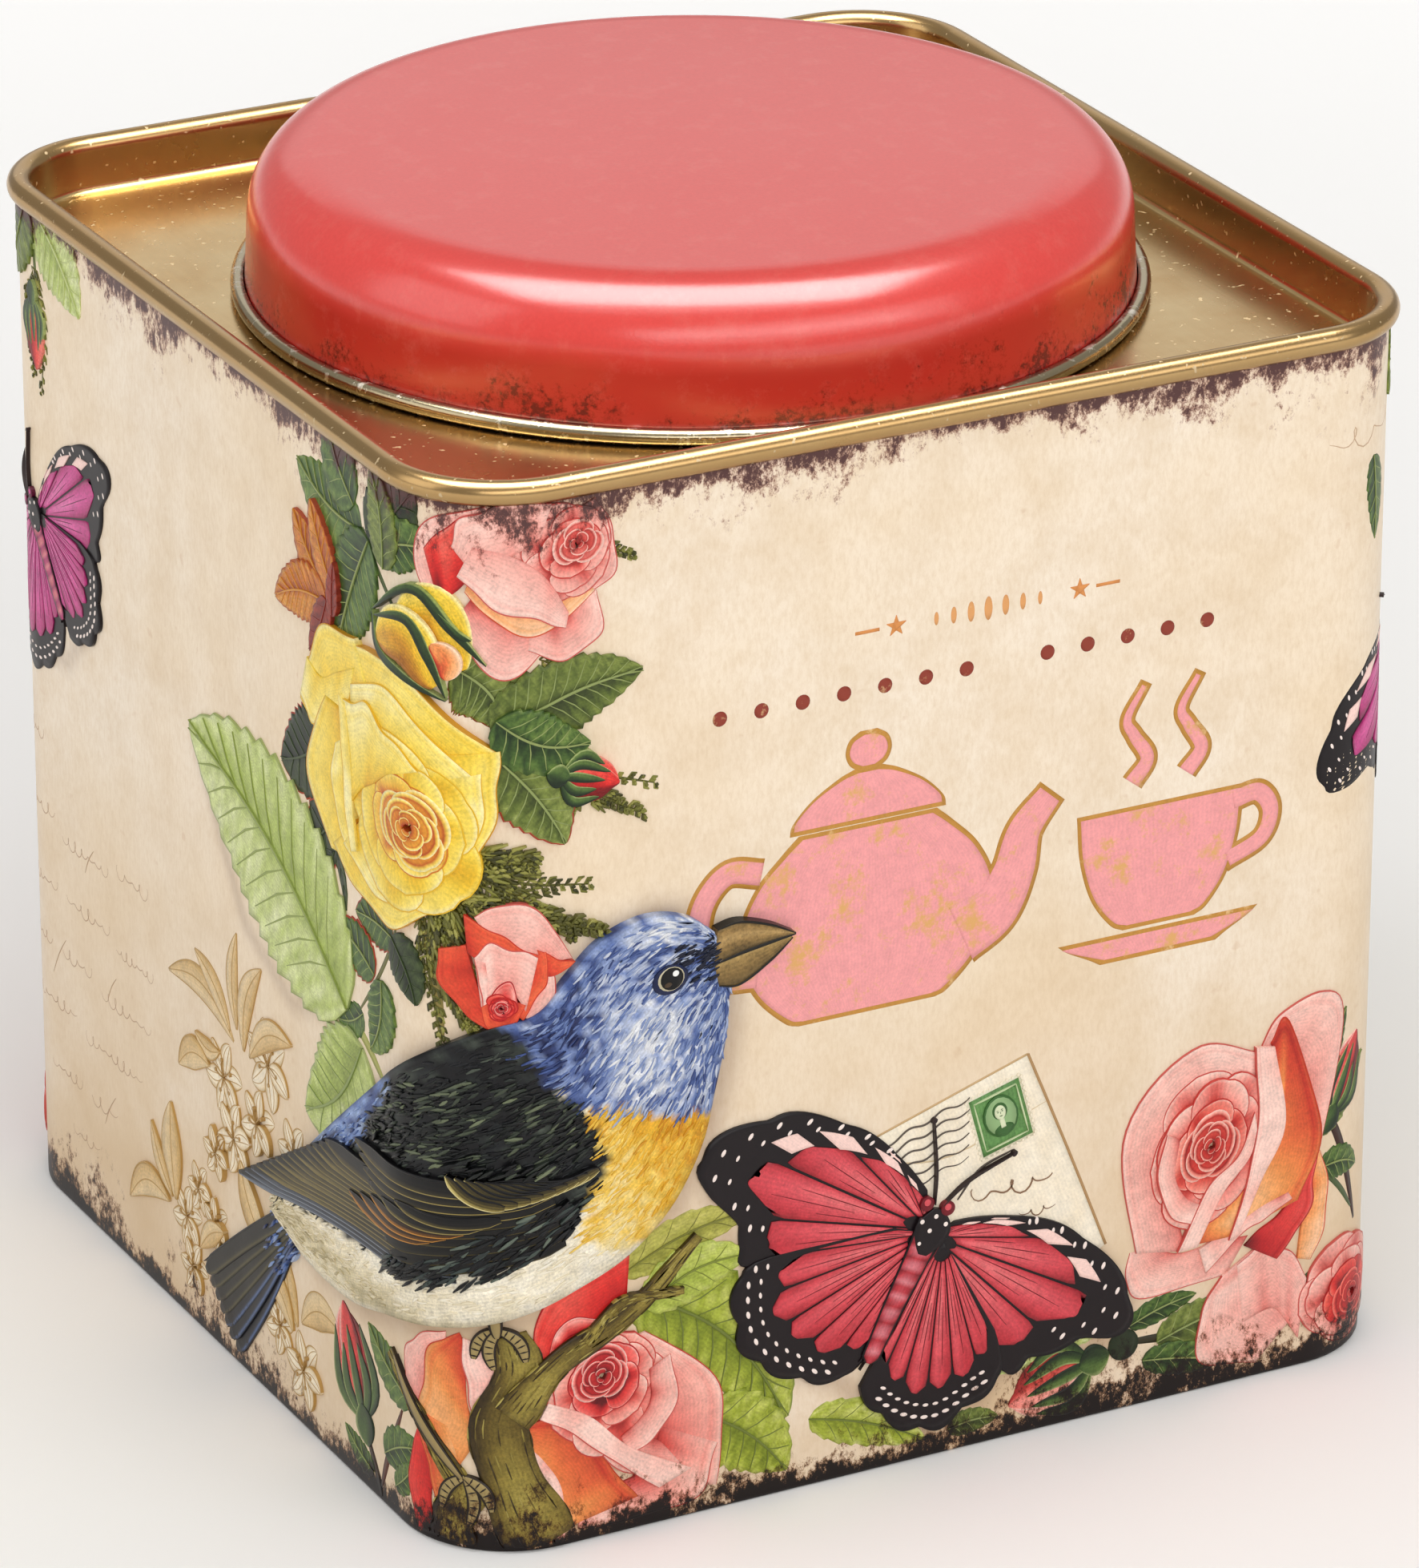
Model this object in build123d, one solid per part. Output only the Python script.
"""A square tea tin with rounded corners and a round slip lid, pressed and rolled from tinplate.

The origin is the middle of the base, +Z is up, and the decorated front panel faces -Y. Millimetres.
The tin is four pressings: a printed body wall, a bottom panel held in the wall's hem, a lacquered
top ring curled over the wall's flange, and a round lid that slips over the top ring's neck.
"""

import os
from math import asin, degrees

from build123d import *

# Driving dimensions
SHEET = 0.30  # tinplate with its coats
BODY_WIDTH = 130.0  # across the flats of the printed wall
CORNER_RADIUS = 14.0  # outside of the wall
RIM_HEIGHT = 136.0  # base to the top of the rolled rim
RIM_CURL_RADIUS = 1.55
RIM_CURL_SET_IN = 0.30  # the curl's centre line inside the wall's outer face
RIM_CURL_START = -72  # degrees, at its lower edge beside the wall
WELL_DEPTH = 6.8  # rolled rim's top down to the sunk panel
WELL_DRAFT = 0.25  # the well's side leans in by this much at its foot
WELL_FILLET = 1.0
NECK_RADIUS = 52.85  # outside of the upstanding neck
NECK_HEIGHT = 9.4  # sunk panel to the neck's top
NECK_FILLET = 0.9
NECK_HEM_RADIUS = 0.8
NECK_HEM_TURN = 230  # degrees of roll
LID_INSIDE_RADIUS = 53.6
LID_CURL_RADIUS = 1.0
LID_CURL_TURN = 305  # degrees of roll
LID_SKIRT = 8.7  # curl's centre to the start of the shoulder
LID_DRAFT = 0.45
LID_SHOULDER = 8.6
LID_CROWN = 0.8
LID_SEAT_GAP = 0.10  # between the lid's curl and the sunk panel

# Seams
FIT = 0.03  # between sheets folded on each other
LAP = 1.0  # how far pieces of one pressing run into each other
HEM_HEIGHT = 2.2
HEM_BEND = 0.40
BASE_RECESS = 3.4  # table to the underside of the bottom panel
PANEL_FLANGE_FOOT = 0.55  # table to the lower edge of the bottom panel's flange
PANEL_BEND = 0.8
BEAD_INSET = 8.0  # stiffening bead in from the wall
BEAD_WIDTH = 3.2
BEAD_RISE = 0.8
BEAD_BEND = 0.7
SEAM_WIDTH = 5.0  # folded side seam
SEAM_LAYERS = 2  # extra layers of sheet inside the wall
SEAM_OFFSET = 34.0  # from the middle of the back
SEAM_GAP = 0.5  # its folded layers stop this far short of the panels
SEAM_GROOVE = (0.5, 0.14)  # width and depth of the fold line outside
FLANGE_BEND = 0.40
FLANGE_REACH = 0.75

# Derived places
half = BODY_WIDTH / 2
curl_x = half - RIM_CURL_SET_IN
curl_z = RIM_HEIGHT - RIM_CURL_RADIUS
well_x = curl_x - RIM_CURL_RADIUS
panel_top = RIM_HEIGHT - WELL_DEPTH
lid_curl_z = panel_top + LID_SEAT_GAP + LID_CURL_RADIUS
lid_curl_x = LID_INSIDE_RADIUS + LID_CURL_RADIUS


def bent_sheet(*skin, side=Side.LEFT):
    """Cross-section of a bent sheet: the given skin, and a second skin SHEET to one side of it."""
    return make_face(Wire(list(skin)).offset_2d(SHEET, side=side, closed=True))


def round_square_path(width, radius):
    """Closed path from the middle of the +X side, counter-clockwise."""
    h = width / 2
    back = FilletPolyline((h, 0), (h, h), (-h, h), (-h, 0), radius=radius)
    front = Rot(0, 0, 180) * back
    return Wire([*back.edges(), *front.edges()])


def upright(section):
    """A section drawn in x and height, stood up in the XZ plane."""
    return Plane.XZ * section


def around_wall(section):
    """Carries a section round the wall's outer path."""
    return sweep(upright(section), path=round_square_path(BODY_WIDTH, CORNER_RADIUS))


def slab(width, radius, top, thickness):
    """Flat rounded square, its upper face at top."""
    plate = extrude(RectangleRounded(width, width, radius), thickness)
    return Pos(0, 0, top - thickness) * plate


def make_body_wall():
    """Wall with an inward hem at the foot, an outward flange at the top and a folded side seam."""
    hem_inner_x = half - 3 * SHEET - 2 * FIT
    flange_z = curl_z + SHEET
    flange_x = half - SHEET + FLANGE_REACH
    skin = FilletPolyline(
        (flange_x, flange_z),
        (half - SHEET, flange_z),
        (half - SHEET, SHEET),
        (hem_inner_x + SHEET, SHEET),
        (hem_inner_x + SHEET, HEM_HEIGHT),
        radius=[FLANGE_BEND, HEM_BEND - SHEET, HEM_BEND - SHEET],
    )
    wall = around_wall(bent_sheet(*skin.edges()))
    seam_foot = BASE_RECESS + SHEET + SEAM_GAP
    seam_height = curl_z - RIM_CURL_RADIUS - SEAM_GAP - seam_foot
    fold_depth = SEAM_LAYERS * SHEET
    groove_width, groove_depth = SEAM_GROOVE
    inward = (Align.CENTER, Align.MAX, Align.MIN)
    fold = Pos(SEAM_OFFSET, half - SHEET, seam_foot) * Box(SEAM_WIDTH, fold_depth, seam_height, align=inward)
    groove = Box(groove_width, groove_depth, seam_height, align=inward)
    return wall + fold - Pos(SEAM_OFFSET + SEAM_WIDTH / 2, half, seam_foot) * groove


def make_bottom_panel():
    """Sunk panel with a stiffening bead and a turned-down flange that stands in the wall's hem."""
    flange_x = half - SHEET - FIT
    panel_z = BASE_RECESS + SHEET
    bead_x = half - BEAD_INSET
    bead_foot = BEAD_WIDTH / 2
    bead_crest = BEAD_WIDTH / 4
    inner_x = bead_x - BEAD_WIDTH
    skin = FilletPolyline(
        (inner_x, panel_z),
        (bead_x - bead_foot, panel_z),
        (bead_x - bead_crest, panel_z + BEAD_RISE),
        (bead_x + bead_crest, panel_z + BEAD_RISE),
        (bead_x + bead_foot, panel_z),
        (flange_x, panel_z),
        (flange_x, PANEL_FLANGE_FOOT),
        radius=[BEAD_BEND] * 4 + [PANEL_BEND],
    )
    edge = around_wall(bent_sheet(*skin.edges(), side=Side.RIGHT))
    field_half = inner_x + LAP / 2
    field_radius = CORNER_RADIUS - (half - field_half)
    return edge + slab(2 * field_half, field_radius, panel_z, SHEET)


def make_top_ring():
    """Rolled rim, well side and sunk panel, with the neck that the lid slips over."""
    foot_x = well_x - WELL_DRAFT
    plate_half = foot_x - WELL_FILLET - LAP
    curl = CenterArc((curl_x, curl_z), RIM_CURL_RADIUS, RIM_CURL_START, 180 - RIM_CURL_START)
    side = FilletPolyline(
        curl @ 1,
        (foot_x, panel_top),
        (plate_half - LAP, panel_top),
        radius=WELL_FILLET,
    )
    rim = around_wall(bent_sheet(curl, *side.edges()))
    plate_radius = CORNER_RADIUS - (half - plate_half)
    plate = slab(2 * plate_half, plate_radius, panel_top, SHEET)
    neck_foot = NECK_RADIUS + NECK_FILLET
    plate -= Pos(0, 0, panel_top) * Cylinder(neck_foot, 4 * SHEET)
    neck_top = panel_top + NECK_HEIGHT
    hem_x = NECK_RADIUS - NECK_HEM_RADIUS
    hem_z = neck_top - NECK_HEM_RADIUS
    foot = FilletPolyline(
        (neck_foot + LAP, panel_top),
        (NECK_RADIUS, panel_top),
        (NECK_RADIUS, hem_z),
        radius=NECK_FILLET,
    )
    hem = CenterArc((hem_x, hem_z), NECK_HEM_RADIUS, 0, NECK_HEM_TURN)
    neck = revolve(upright(bent_sheet(*foot.edges(), hem)), Axis.Z)
    return rim + plate + neck


def lid_skin(offset):
    """Half profile of the lid, from the curl's height to the axis, offset inward from the outside."""
    skirt_top = lid_curl_z + LID_SKIRT
    foot_x = LID_INSIDE_RADIUS + SHEET - offset
    top_x = foot_x - LID_DRAFT
    shoulder_x = LID_INSIDE_RADIUS + SHEET - LID_DRAFT - LID_SHOULDER
    crown_radius = (shoulder_x**2 + LID_CROWN**2) / (2 * LID_CROWN)
    crown_angle = degrees(asin(shoulder_x / crown_radius))
    crown_z = skirt_top + LID_SHOULDER + LID_CROWN - offset
    return [
        Line((foot_x, lid_curl_z), (top_x, skirt_top)),
        CenterArc((shoulder_x, skirt_top), LID_SHOULDER - offset, 0, 90),
        CenterArc((0, crown_z - crown_radius), crown_radius, 90 - crown_angle, crown_angle),
    ]


def make_lid():
    """Drawn round lid with an outward curl, a short skirt, a full shoulder and a slight crown."""
    outside, inside = lid_skin(0), lid_skin(SHEET)
    joins = [Line(inside[0] @ 0, outside[0] @ 0), Line(outside[2] @ 1, inside[2] @ 1)]
    shell = make_face([*outside, *inside, *joins])
    curl = CenterArc((lid_curl_x, lid_curl_z), LID_CURL_RADIUS, 180, LID_CURL_TURN)
    cap = revolve(upright(shell), Axis.Z)
    return cap + revolve(upright(bent_sheet(curl)), Axis.Z)


def save(name, shape):
    """Writes one sub-part as parts/NAME.step."""
    export_step(shape, f"parts/{name}.step")


os.makedirs("parts", exist_ok=True)
save("body_wall", make_body_wall())
save("bottom_panel", make_bottom_panel())
save("top_ring", make_top_ring())
save("lid", make_lid())
